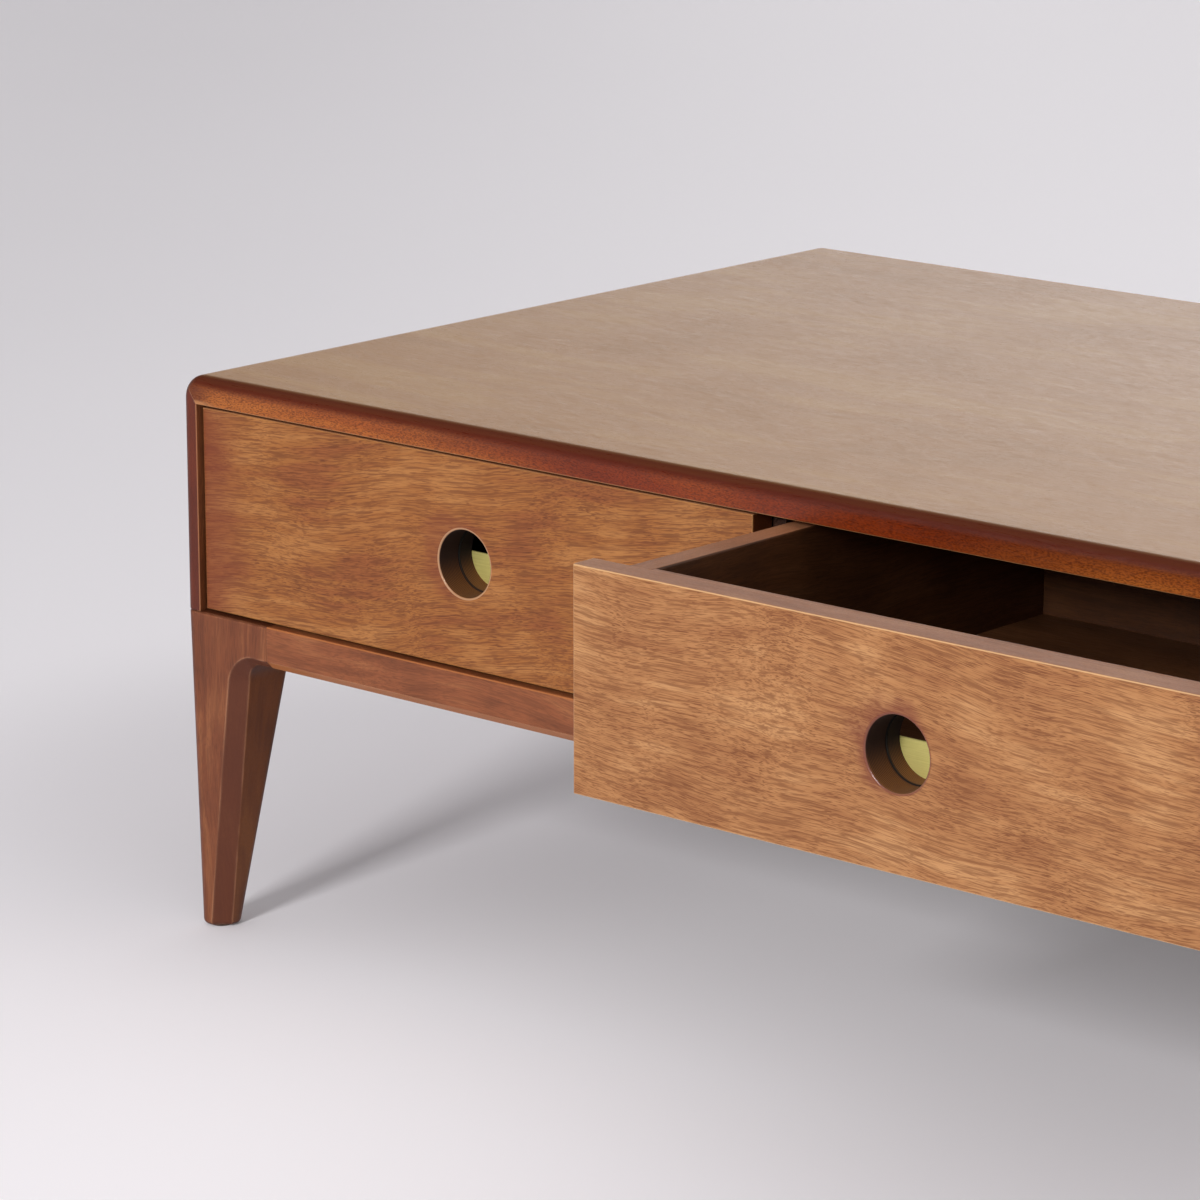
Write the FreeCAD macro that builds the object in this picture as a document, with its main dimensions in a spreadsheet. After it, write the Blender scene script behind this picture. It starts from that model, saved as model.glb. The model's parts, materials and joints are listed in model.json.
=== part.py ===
import FreeCAD, Part
import math
import os
import re
import Sketcher

# A coffee table: a box of mitred boards with two drawers, on a base of four tapered legs and four rails.
# Millimetres. X runs along the front, Y from front to back and Z up. The origin lies on the floor under
# the middle of the table.

SIZES = {
    # the whole table
    "width": 1025,
    "depth": 695,
    "height": 400,
    "base_share": 0.58,
    # the box
    "top_thickness": 20,
    "side_thickness": 14.5,
    "corner_radius": 17,
    "front_roundover": 8,
    "lip_round": 1,
    "end_round": 1,
    "bottom_thickness": 15,
    "bottom_setback": 2,
    "back_thickness": 12,
    "back_inset": 3,
    "divider_thickness": 18,
    # the base
    "rail_thickness": 40,
    "rail_height": 30.5,
    "lean": 3.5,
    "leg_width": 57.5,
    "foot_width": 22.5,
    "shoulder_length": 80,
    "shoulder_radius": 18,
    "outer_arris": 8,
    "inner_arris": 7,
    "top_arris": 1.5,
    "leg_bevel": 10.5,
    "rail_bevel": 5.5,
    "foot_edge": 4,
    "glide_radius": 7,
    "glide_height": 3,
    "glide_proud": 0.6,
    "dowel_radius": 4,
    "dowel_length": 40,
    "dowel_pitch": 18,
    # the drawers
    "left_pull": 0,
    "right_pull": 171,
    "panel_thickness": 19,
    "panel_recess": 4,
    "panel_side_gap": 2.5,
    "panel_top_gap": 2.5,
    "panel_bottom_gap": 2,
    "panel_meeting_gap": 2,
    "panel_arris": 1.2,
    "hole_share": 0.16,
    "hole_round": 1.4,
    "bore_step": 0.8,
    "box_length": 421,
    "box_front_thickness": 12,
    "box_side_thickness": 18,
    "box_back_thickness": 15,
    "box_clearance": 5,
    "box_drop": 2.5,
    "box_arris": 1.5,
    "floor_thickness": 6,
    "floor_rise": 14,
    "groove_depth": 6,
    "groove_slack": 0.5,
    "plate_width": 64,
    "plate_gap": 3.5,
    "plate_thickness": 1.5,
    "plate_corner": 4,
    # the runners
    "runner_length": 400,
    "runner_height": 45,
    "runner_thickness": 13,
    "runner_metal": 1.2,
    "runner_play": 0.3,
    "runner_lip_gap": 2,
    "runner_setback": 3,
    "runner_rise": 48,
    # the fasteners
    "screw_shank": 2,
    "screw_head": 4,
    "screw_head_depth": 3,
    "base_screw_length": 40,
    "base_screw_inset": 180,
    "base_screw_offset": 32,
    "panel_screw_length": 26,
    "panel_screw_reach": 150,
    "panel_screw_rise": 10,
    "panel_screw_drop": 40,
    "pin_screw_shank": 1.4,
    "pin_screw_head": 2.8,
    "pin_screw_length": 8,
    "pin_screw_inset": 30,
    "plate_screw_inset": 5,
    "fit": 0.1,
    # how far a cutting shape runs past what it cuts
    "overrun": 10,
    "bevel_overrun": 4,
}

# Levels and places that follow from the sizes.
DERIVED = {
    "base_height": "height*base_share",
    "rail_low": "base_height - rail_height",
    "under_top": "height - top_thickness",
    "deck_top": "base_height + bottom_thickness",
    "inside_x": "width/2 - side_thickness",
    "inside_back": "depth/2 - back_inset - back_thickness",
    "panel_front": "panel_recess - depth/2",
    "panel_back": "panel_front + panel_thickness",
    "inside_front": "panel_back + bottom_setback",
    "inside_depth": "inside_back - inside_front",
    "panel_low": "base_height + panel_bottom_gap",
    "panel_high": "under_top - panel_top_gap",
    "panel_height": "panel_high - panel_low",
    "panel_width": "inside_x - panel_side_gap - panel_meeting_gap/2",
    "panel_middle": "(inside_x - panel_side_gap + panel_meeting_gap/2)/2",
    "hole_level": "(panel_low + panel_high)/2",
    "hole_radius": "panel_height*hole_share",
    "box_low": "deck_top + box_clearance",
    "box_high": "panel_high - box_drop",
    "box_near": "divider_thickness/2 + runner_thickness",
    "box_far": "inside_x - runner_thickness",
    "box_inner_width": "box_far - box_near - 2*box_side_thickness",
    "floor_low": "box_low + floor_rise",
    "floor_top": "floor_low + floor_thickness",
    "plate_height": "hole_level - floor_top - plate_gap",
    "plate_front": "panel_back + box_front_thickness",
    "runner_level": "box_low + runner_rise",
    "runner_start": "panel_back + runner_setback",
}
NEAR = 0.01

doc = FreeCAD.newDocument("CoffeeTable")
sheet = doc.addObject("Spreadsheet::Sheet", "Sizes")
for row, (alias, value) in enumerate(SIZES.items(), start=1):
    sheet.set(f"A{row}", alias)
    sheet.set(f"B{row}", str(value))
    sheet.setAlias(f"B{row}", alias)
doc.recompute()
derived = doc.addObject("App::VarSet", "Derived")
pieces = []


def bind(thing, prop, text):
    """Tie a property to the sheet: each word of the formula is a size or a derived value."""
    def full_name(word):
        home = "Derived" if word.group() in DERIVED else "Sizes"
        return f"{home}.{word.group()}"

    thing.setExpression(prop, re.sub(r"[a-z]\w*", full_name, text))


for name, formula in DERIVED.items():
    derived.addProperty("App::PropertyFloat", name)
    bind(derived, name, formula)
doc.recompute()


def size(name):
    """The value, in code, of a size or of a derived value."""
    return getattr(derived, name) if name in DERIVED else float(sheet.get(name))


def place(thing, corner):
    for axis, text in zip("xyz", corner):
        bind(thing, "Placement.Base." + axis, text)


def keep(thing, label):
    """Name a finished piece and list it for export."""
    thing.Label = label
    pieces.append(thing)
    return thing


def board(name, corner, spans):
    """A straight board, from its least corner and its three spans."""
    box = doc.addObject("Part::Box", name)
    for prop, text in zip(("Length", "Width", "Height"), spans):
        bind(box, prop, text)
    place(box, corner)
    return box


def bar(name, corner, radius, length, turn=None):
    """A round bar that starts at a corner and runs along Z, or along the turned Z."""
    rod = doc.addObject("Part::Cylinder", name)
    bind(rod, "Radius", radius)
    bind(rod, "Height", length)
    if turn:
        rod.Placement = FreeCAD.Placement(FreeCAD.Vector(), turn)
    place(rod, corner)
    return rod


def cut(base, *tools):
    for tool in tools:
        step = doc.addObject("Part::Cut", base.Name + "_cut")
        step.Base = base
        step.Tool = tool
        base = step
    return base


def edge_lies(edge, **planes):
    """Whether an edge lies wholly in planes of constant x, y or z."""
    box = edge.BoundBox
    spans = {"x": (box.XMin, box.XMax), "y": (box.YMin, box.YMax), "z": (box.ZMin, box.ZMax)}
    return all(abs(end - level) < NEAR for axis, level in planes.items() for end in spans[axis])


def edge_joins(edge, *points):
    """Whether an edge's ends are these two points."""
    ends = [vertex.Point for vertex in edge.Vertexes]
    return all(any(end.distanceToPoint(FreeCAD.Vector(*point)) < NEAR for end in ends) for point in points)


def new_body(name, corner=("0", "0", "0")):
    body = doc.addObject("PartDesign::Body", name)
    place(body, corner)
    return body


def new_sketch(body, role):
    sketch = body.newObject("Sketcher::SketchObject", body.Name + "_sketch")
    plane = next(item for item in body.Origin.OriginFeatures if item.Role == role)
    sketch.AttachmentSupport = [(plane, "")]
    sketch.MapMode = "FlatFace"
    return sketch


def fix_point(sketch, shape, end, x, y):
    for kind, text in (("DistanceX", x), ("DistanceY", y)):
        number = sketch.addConstraint(Sketcher.Constraint(kind, -1, 1, shape, end, 1))
        bind(sketch, f"Constraints[{number}]", text)


def outline(body, role, points):
    """A closed outline of straight lines, with each corner tied to the sheet."""
    sketch = new_sketch(body, role)
    count = len(points)
    turns = [2 * math.pi * index / count for index in range(count)]
    start = [FreeCAD.Vector(math.cos(turn), math.sin(turn), 0) for turn in turns]
    for index in range(count):
        sketch.addGeometry(Part.LineSegment(start[index], start[(index + 1) % count]), False)
    for index in range(count):
        sketch.addConstraint(Sketcher.Constraint("Coincident", index, 2, (index + 1) % count, 1))
    for index, (x, y) in enumerate(points):
        fix_point(sketch, index, 1, x, y)
    return sketch


def ring(body, role, x, y, radius):
    """A circle, with its centre and radius tied to the sheet."""
    sketch = new_sketch(body, role)
    sketch.addGeometry(Part.Circle(), False)
    fix_point(sketch, 0, 3, x, y)
    number = sketch.addConstraint(Sketcher.Constraint("Radius", 0, 1))
    bind(sketch, f"Constraints[{number}]", radius)
    return sketch


def rectangle(left, low, right, high):
    return [(left, low), (right, low), (right, high), (left, high)]


def pad(body, sketch, length, backwards=False, both_ways=False):
    step = body.newObject("PartDesign::Pad", body.Name + "_pad")
    step.Profile = sketch
    bind(step, "Length", length)
    step.Reversed = backwards
    step.Midplane = both_ways
    sketch.Visibility = False
    return step


def pocket_through(body, sketch):
    step = body.newObject("PartDesign::Pocket", body.Name + "_pocket")
    step.Profile = sketch
    step.Type = "ThroughAll"
    step.Midplane = True
    before = body.Tip.BaseFeature.Shape.Volume
    doc.recompute()
    if step.Shape.Volume > before - NEAR:
        raise RuntimeError(step.Name + " cuts nothing")
    return step


def soften(body, radius, picked):
    """Round the body's edges that a test picks."""
    doc.recompute()
    base = body.Tip
    names = [f"Edge{index}" for index, edge in enumerate(base.Shape.Edges, start=1) if picked(edge)]
    if not names:
        raise RuntimeError(body.Name + " has no such edge")
    step = body.newObject("PartDesign::Fillet", body.Name + "_round")
    step.Base = (base, names)
    bind(step, "Radius", radius)
    doc.recompute()
    return step


def soften_board(base, radius, picked):
    """Round the edges of a board or of a boolean result."""
    doc.recompute()
    step = doc.addObject("Part::Fillet", base.Name + "_round")
    step.Base = base
    step.Edges = [
        (index, radius, radius) for index, edge in enumerate(base.Shape.Edges, start=1) if picked(edge)
    ]
    return step


def screw(shank, head, head_depth, length, grown=0):
    """A countersunk screw along +Z from the middle of its head's flat; its length counts the head."""
    cone = Part.makeCone(head + grown, shank + grown, head_depth)
    stem = Part.makeCylinder(shank + grown, length - head_depth, FreeCAD.Vector(0, 0, head_depth))
    return cone.fuse(stem).removeSplitter()


def group(name, solid, spots, axis):
    """Copies of one fastener, turned so that its Z runs along an axis."""
    turn = FreeCAD.Rotation(FreeCAD.Vector(0, 0, 1), FreeCAD.Vector(*axis))
    copies = []
    for spot in spots:
        copy = solid.copy()
        copy.Placement = FreeCAD.Placement(FreeCAD.Vector(*spot), turn)
        copies.append(copy)
    feature = doc.addObject("Part::Feature", name)
    feature.Shape = Part.makeCompound(copies)
    return feature


def join_groups(name, parts):
    feature = doc.addObject("Part::Feature", name)
    feature.Shape = Part.makeCompound([solid for part in parts for solid in part.Shape.Solids])
    return feature


def long_screw(length, grown=0):
    return screw(size("screw_shank"), size("screw_head"), size("screw_head_depth"), length, grown)


def pin_screw(head_depth, grown=0):
    return screw(size("pin_screw_shank"), size("pin_screw_head"), head_depth, size("pin_screw_length"), grown)


half_width = size("width") / 2
half_depth = size("depth") / 2
inside_x = size("inside_x")
base_top = size("base_height")
SIDES = {"left": -1, "right": 1}
CORNERS = {"front_left": (-1, -1), "front_right": (1, -1), "rear_left": (-1, 1), "rear_right": (1, 1)}


# The box: one bent profile of top and sides, rounded as a whole and then parted along its mitres.
def shell_of_box():
    body = new_body("box_shell")
    sides = rectangle("-width/2", "base_height", "width/2", "height")
    inner = rectangle("-inside_x", "base_height", "inside_x", "under_top")
    pad(body, outline(body, "XZ_Plane", sides), "depth", both_ways=True)
    doc.recompute()
    pocket_through(body, outline(body, "XZ_Plane", inner))
    soften(body, "corner_radius", lambda edge: edge_lies(edge, z=size("height")) and any(
        edge_lies(edge, x=sign * half_width) for sign in (-1, 1)))

    def outer_arris(edge):
        on_end = any(edge_lies(edge, y=sign * half_depth) for sign in (-1, 1))
        on_inside = any(edge_lies(edge, x=sign * inside_x) for sign in (-1, 1))
        level = any(edge_lies(edge, z=height) for height in (size("under_top"), base_top))
        return on_end and not on_inside and not level

    soften(body, "front_roundover", outer_arris)
    return body


def box_board(name, shell, points):
    """One board of the box: the shell's share of a wedge that ends in the mitres."""
    wedge = new_body(name + "_wedge")
    pad(wedge, outline(wedge, "XZ_Plane", points), "depth + 2*overrun", both_ways=True)
    step = doc.addObject("Part::Common", name + "_blank")
    step.Base = shell
    step.Tool = wedge
    return step


def on_end_faces(edge):
    return any(edge_lies(edge, y=sign * half_depth) for sign in (-1, 1))


shell = shell_of_box()
outer_x = "(width/2 + overrun)"
outer_z = "height + overrun*top_thickness/side_thickness"
top_blank = box_board("top", shell, [
    ("-inside_x", "under_top"), ("inside_x", "under_top"), (outer_x, outer_z), ("-" + outer_x, outer_z)])
keep(soften_board(top_blank, size("lip_round"), lambda edge: on_end_faces(edge) and edge_lies(
    edge, z=size("under_top"))), "table_top")
side_blanks = {}
for side, sign in SIDES.items():
    blank = box_board(side + "_side", shell, [
        (f"{sign}*inside_x", "under_top"), (f"{sign}*{outer_x}", outer_z),
        (f"{sign}*{outer_x}", "base_height - overrun"), (f"{sign}*inside_x", "base_height - overrun")])
    lipped = soften_board(blank, size("lip_round"), lambda edge: on_end_faces(edge) and edge_lies(
        edge, x=sign * inside_x))
    side_blanks[side] = soften_board(lipped, size("end_round"), lambda edge: edge_lies(
        edge, z=base_top) and not edge_lies(edge, x=sign * inside_x))

keep(board("back_board", ("-inside_x", "inside_back", "base_height"),
           ("2*inside_x", "back_thickness", "under_top - base_height")), "back_panel")
bottom_blank = board("bottom_board", ("-inside_x", "inside_front", "base_height"),
                     ("2*inside_x", "inside_depth", "bottom_thickness"))
divider_blank = board("divider_board", ("-divider_thickness/2", "inside_front", "deck_top"),
                      ("divider_thickness", "inside_depth", "under_top - deck_top"))


# The base: legs that lean in on the outside, taper on the inside and flow into the rails.
def lean_at(z):
    """How far the outer faces of the base stand in from the box's corner at a level."""
    return size("lean") * (1 - z / base_top)


def leg_body():
    """A leg before its bevels: a tapered post with a shoulder for each rail."""
    body = new_body("leg", ("-width/2", "-depth/2", "0"))
    post = [("0", "glide_proud"), ("lean + foot_width", "glide_proud"), ("leg_width", "base_height"),
            ("0", "base_height")]
    pad(body, outline(body, "XZ_Plane", post), "leg_width", backwards=True)
    doc.recompute()
    inner_taper = [("lean + foot_width", "glide_proud"), ("leg_width + overrun", "glide_proud"),
                   ("leg_width + overrun", "base_height"), ("leg_width", "base_height")]
    pocket_through(body, outline(body, "YZ_Plane", inner_taper))
    shoulder = rectangle("0", "rail_low", "shoulder_length", "base_height")
    pad(body, outline(body, "XZ_Plane", shoulder), "rail_thickness", backwards=True)
    pad(body, outline(body, "YZ_Plane", shoulder), "rail_thickness")
    doc.recompute()
    leaning = [("0", "base_height"), ("lean", "0"), ("-overrun", "0"), ("-overrun", "base_height")]
    for role in ("YZ_Plane", "XZ_Plane"):
        pocket_through(body, outline(body, role, leaning))

    foot, under = size("glide_proud"), size("rail_low")
    neck, inner_foot, inner_top = inner_line(under), inner_line(foot), inner_line(base_top)
    outer_foot = lean_at(foot)
    soften(body, "shoulder_radius", lambda edge: edge_lies(edge, z=under) and (
        edge_lies(edge, x=neck) or edge_lies(edge, y=neck)))
    soften(body, "outer_arris", lambda edge: edge_joins(edge, (0, 0, base_top), (outer_foot, outer_foot, foot)))
    soften(body, "inner_arris", lambda edge: edge_joins(
        edge, (inner_foot, inner_foot, foot), (inner_top, inner_top, base_top)))
    return body


def inner_line(z):
    """Where the leg's inner face lies at a level, counted in from the box's corner."""
    foot = size("glide_proud")
    inner_foot = size("lean") + size("foot_width")
    return inner_foot + (size("leg_width") - inner_foot) * (z - foot) / (base_top - foot)


def bevel_section(across, z, facing, width, swap):
    """The triangle that the bevel takes off at one point of the leg's inner outline.

    Facing is the way to the open side there, as an angle in the face. The triangle runs a little past
    both faces.
    """
    past = size("bevel_overrun")
    open_x, open_z = math.cos(facing), math.sin(facing)
    on_face = (across - width * open_x, lean_at(z - width * open_z), z - width * open_z)
    on_side = (across, lean_at(z) + width, z)
    outside = (across + past * open_x, lean_at(z) - past, z + past * open_z)
    face_point, side_point, free_point = (FreeCAD.Vector(*point) for point in (on_face, on_side, outside))
    reach = (face_point - side_point).normalize() * past
    corners = [face_point + reach, side_point - reach, free_point]
    if swap:
        corners = [FreeCAD.Vector(point.y, point.x, point.z) for point in corners]
    return Part.makePolygon(corners + corners[:1])


def bevel_cutters(swap):
    """Solids that bevel the front outline of the leg, or its side outline: post, bend and shoulder in turn.

    The bevel is wide down the post and narrows round the bend to the width that the rails have.
    """
    wide, narrow = size("leg_bevel"), size("rail_bevel")
    past = size("bevel_overrun")
    under, radius = size("rail_low"), size("shoulder_radius")
    slope = inner_line(1) - inner_line(0)
    start = math.atan2(-slope, 1)
    turn = -math.pi / 2 - start
    middle_z = under - radius
    middle_x = inner_line(middle_z) + radius * math.hypot(slope, 1)
    low = -past
    count = 8
    bend = []
    for step in range(count + 1):
        share = step / count
        facing = start + turn * share
        width = wide + (narrow - wide) * share
        spot = (middle_x - radius * math.cos(facing), middle_z - radius * math.sin(facing))
        bend.append(bevel_section(*spot, facing, width, swap))
    foot_end = bevel_section(inner_line(low), low, start, wide, swap)
    rail_end = bevel_section(size("shoulder_length") + past, under, start + turn, narrow, swap)
    return [Part.makeLoft([foot_end, bend[0]], True, True), Part.makeLoft(bend, True, False),
            Part.makeLoft([bend[-1], rail_end], True, True)]


def bevelled_leg():
    """The whole leg: bevelled round its inner outlines, and softened at its foot and its top."""
    body = leg_body()
    corner = FreeCAD.Vector(-half_width, -half_depth, 0)
    blank = body
    for swap in (False, True):
        for cutter in bevel_cutters(swap):
            tool = doc.addObject("Part::Feature", "leg_bevel")
            tool.Shape = cutter
            tool.Placement.Base = corner
            blank = cut(blank, tool)
    footed = soften_board(blank, size("foot_edge"), lambda edge: edge_lies(edge, z=size("glide_proud")))
    reach = size("shoulder_length")

    def outer_top(edge):
        box = edge.BoundBox
        level = edge_lies(edge, z=base_top)
        limit = size("outer_arris") + NEAR
        outer = box.XMax < limit - half_width or box.YMax < limit - half_depth
        end = edge_lies(edge, x=reach - half_width) or edge_lies(edge, y=reach - half_depth)
        return level and outer and not end

    return soften_board(footed, size("top_arris"), outer_top)


def rail_body(name, along):
    """A rail between two shoulders, with the lean, the bevel and the top arris of the legs."""
    role, corner, span = {
        "x": ("YZ_Plane", ("0", "-depth/2", "0"), "width"),
        "y": ("XZ_Plane", ("-width/2", "0", "0"), "depth"),
    }[along]
    body = new_body(name, corner)
    lean_low = "lean*rail_height/base_height"
    lean_bevel = "lean*(rail_height - rail_bevel)/base_height"
    section = [(lean_low + " + rail_bevel", "rail_low"), ("rail_thickness", "rail_low"),
               ("rail_thickness", "base_height"), ("0", "base_height"), (lean_bevel, "rail_low + rail_bevel")]
    pad(body, outline(body, role, section), f"{span} - 2*shoulder_length", both_ways=True)
    outside = {"x": "y", "y": "x"}[along]
    soften(body, "top_arris", lambda edge: edge_lies(edge, **{"z": base_top, outside: 0}))
    return body


def mirrored(name, source, normal):
    copy = doc.addObject("Part::Mirroring", name)
    copy.Source = source
    copy.Normal = FreeCAD.Vector(*normal)
    return copy


def dowels(name, rail_axis, grown):
    """Dowels, two abreast at each shoulder, for the rails that run along X or along Y."""
    level = base_top - size("rail_height") / 2
    shoulder = size("shoulder_length")
    spots = []
    for abreast in (-1, 1):
        depth = (size("rail_thickness") + abreast * size("dowel_pitch")) / 2
        for end in (-1, 1):
            for side in (-1, 1):
                if rail_axis == "x":
                    spots.append((end * (half_width - shoulder), side * (half_depth - depth), level))
                else:
                    spots.append((side * (half_width - depth), end * (half_depth - shoulder), level))
    length = size("dowel_length") + 2 * grown
    rod = Part.makeCylinder(size("dowel_radius") + grown, length, FreeCAD.Vector(0, 0, -length / 2))
    return group(name, rod, spots, {"x": (1, 0, 0), "y": (0, 1, 0)}[rail_axis])


keep(join_groups("dowel_set", [dowels("dowel", axis, 0) for axis in "xy"]), "rail_dowels")
dowel_holes = join_groups("dowel_holes", [dowels("dowel_hole", axis, size("fit")) for axis in "xy"])

screw_x = half_width - size("base_screw_inset")
screw_y = half_depth - size("base_screw_inset")
screw_z = size("rail_low")
offset = size("base_screw_offset")
base_spots = [(x, side * (half_depth - offset), screw_z) for x in (-screw_x, 0, screw_x) for side in (-1, 1)]
base_spots += [(side * (half_width - offset), y, screw_z) for y in (-screw_y, screw_y) for side in (-1, 1)]
base_length = size("base_screw_length")
keep(group("base_screw_set", long_screw(base_length), base_spots, (0, 0, 1)), "base_screws")
base_holes = group("base_screw_holes", long_screw(base_length, size("fit")), base_spots, (0, 0, 1))
keep(cut(bottom_blank, base_holes), "bottom_panel")

front_rail = rail_body("front_rail_blank", "x")
left_rail = rail_body("left_rail_blank", "y")
rails = {
    "front_rail": front_rail,
    "rear_rail": mirrored("rear_rail_blank", front_rail, (0, 1, 0)),
    "left_rail": left_rail,
    "right_rail": mirrored("right_rail_blank", left_rail, (1, 0, 0)),
}
for label, blank in rails.items():
    keep(cut(blank, dowel_holes, base_holes), label)

leg = bevelled_leg()
legs = {"front_left": leg, "front_right": mirrored("leg_front_right_blank", leg, (1, 0, 0))}
legs["rear_left"] = mirrored("leg_rear_left_blank", leg, (0, 1, 0))
legs["rear_right"] = mirrored("leg_rear_right_blank", legs["front_right"], (0, 1, 0))
for corner, (x, y) in CORNERS.items():
    spot = (f"{x}*(width/2 - lean - foot_width/2)", f"{y}*(depth/2 - lean - foot_width/2)", "0")
    keep(bar("glide_" + corner, spot, "glide_radius", "glide_height"), "foot_glide_" + corner)
    recess = bar("glide_recess_" + corner, spot, "glide_radius + fit", "glide_height")
    keep(cut(legs[corner], dowel_holes, recess), "leg_" + corner)


# The runners: a channel on the wall, a middle member in it and a slide on the drawer, nested with some play.
def runner_profiles():
    """Outlines of the three members, from the wall outwards. Each is a lower half and its mirror image."""
    high = "runner_height/2"
    middle_high = "(runner_height/2 - runner_metal - runner_play)"
    slide_high = "(runner_height/2 - 2*runner_metal - 2*runner_play)"
    lip = "(runner_height/2 - 2*runner_metal - runner_play)"
    mouth = "(runner_thickness - runner_lip_gap)"
    inner_mouth = mouth + " - runner_metal"
    member_mouth = inner_mouth + " - runner_play"
    channel = [("0", f"-{high}"), (mouth, f"-{high}"), (mouth, f"-{lip}"), (inner_mouth, f"-{lip}"),
               (inner_mouth, f"runner_metal - {high}"), ("runner_metal", f"runner_metal - {high}")]
    member = [("runner_metal + runner_play", f"-{middle_high}"), (member_mouth, f"-{middle_high}"),
              (member_mouth, f"runner_metal - {middle_high}"),
              ("2*runner_metal + runner_play", f"runner_metal - {middle_high}")]
    slide = [("runner_thickness", f"-{slide_high}"), ("2*runner_metal + 2*runner_play", f"-{slide_high}"),
             ("2*runner_metal + 2*runner_play", f"runner_metal - {slide_high}"),
             ("runner_thickness - runner_metal", f"runner_metal - {slide_high}")]
    return {
        name: half + [(x, f"-({y})") for x, y in reversed(half)]
        for name, half in (("channel", channel), ("middle", member), ("slide", slide))
    }


PROFILES = runner_profiles()


def runner_member(name, kind, wall, facing, pull):
    """One member of a runner: facing is the way from the wall to the drawer, 1 along X or -1 against it."""
    body = new_body(name, (wall, f"runner_start - {pull}", "runner_level"))
    points = [(f"{facing}*({x})", y) for x, y in PROFILES[kind]]
    pad(body, outline(body, "XZ_Plane", points), "runner_length", backwards=True)
    return body


def runner(label, wall, wall_x, facing, pull):
    """A whole runner on one wall. Returns its screws and their holes, for the channel and for the slide."""
    metal = size("runner_metal")
    ends = (size("pin_screw_inset"), size("runner_length") - size("pin_screw_inset"))
    screws = {}
    for kind, shift, depth, way in (
            ("channel", "0", metal, -facing), ("slide", pull, size("runner_thickness") - metal, facing)):
        start = size("runner_start") - (size(pull) if kind == "slide" else 0)
        spots = [(wall_x + facing * depth, start + end, size("runner_level")) for end in ends]
        screws[kind] = group(f"{label}_{kind}_screws", pin_screw(metal), spots, (way, 0, 0))
        holes = group(f"{label}_{kind}_holes", pin_screw(metal, size("fit")), spots, (way, 0, 0))
        screws[kind + "_holes"] = holes
        keep(cut(runner_member(f"{label}_{kind}_blank", kind, wall, facing, shift), holes), f"{label}_{kind}")
    keep(runner_member(f"{label}_middle_blank", "middle", wall, facing, pull + "/2"), f"{label}_middle")
    return screws


# The drawers.
def drawer_panel(name, sign, pull):
    """A drawer front with a round finger hole, softened all round its face and round the hole's rim."""
    body = new_body(name, (f"{sign}*panel_middle", f"panel_front - {pull}", "hole_level"))
    face = rectangle("-panel_width/2", "-panel_height/2", "panel_width/2", "panel_height/2")
    pad(body, outline(body, "XZ_Plane", face), "panel_thickness", backwards=True)
    doc.recompute()
    pocket_through(body, ring(body, "XZ_Plane", "0", "0", "hole_radius"))
    soften(body, "hole_round", lambda edge: edge_lies(edge, y=0) and len(edge.Vertexes) == 1)
    soften(body, "panel_arris", lambda edge: edge_lies(edge, y=0) and len(edge.Vertexes) == 2)
    return body


def finger_plate(name, sign, pull):
    """A thin plate behind the lower half of the finger hole, with its two lower corners rounded."""
    body = new_body(name, (f"{sign}*panel_middle", f"plate_front - {pull}", "hole_level"))
    face = rectangle("-plate_width/2", "-plate_height", "plate_width/2", "0")
    pad(body, outline(body, "XZ_Plane", face), "plate_thickness", backwards=True)
    low = -size("plate_height")
    soften(body, "plate_corner", lambda edge: any(
        edge_lies(edge, z=low, x=end * size("plate_width") / 2) for end in (-1, 1)))
    return body


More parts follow.
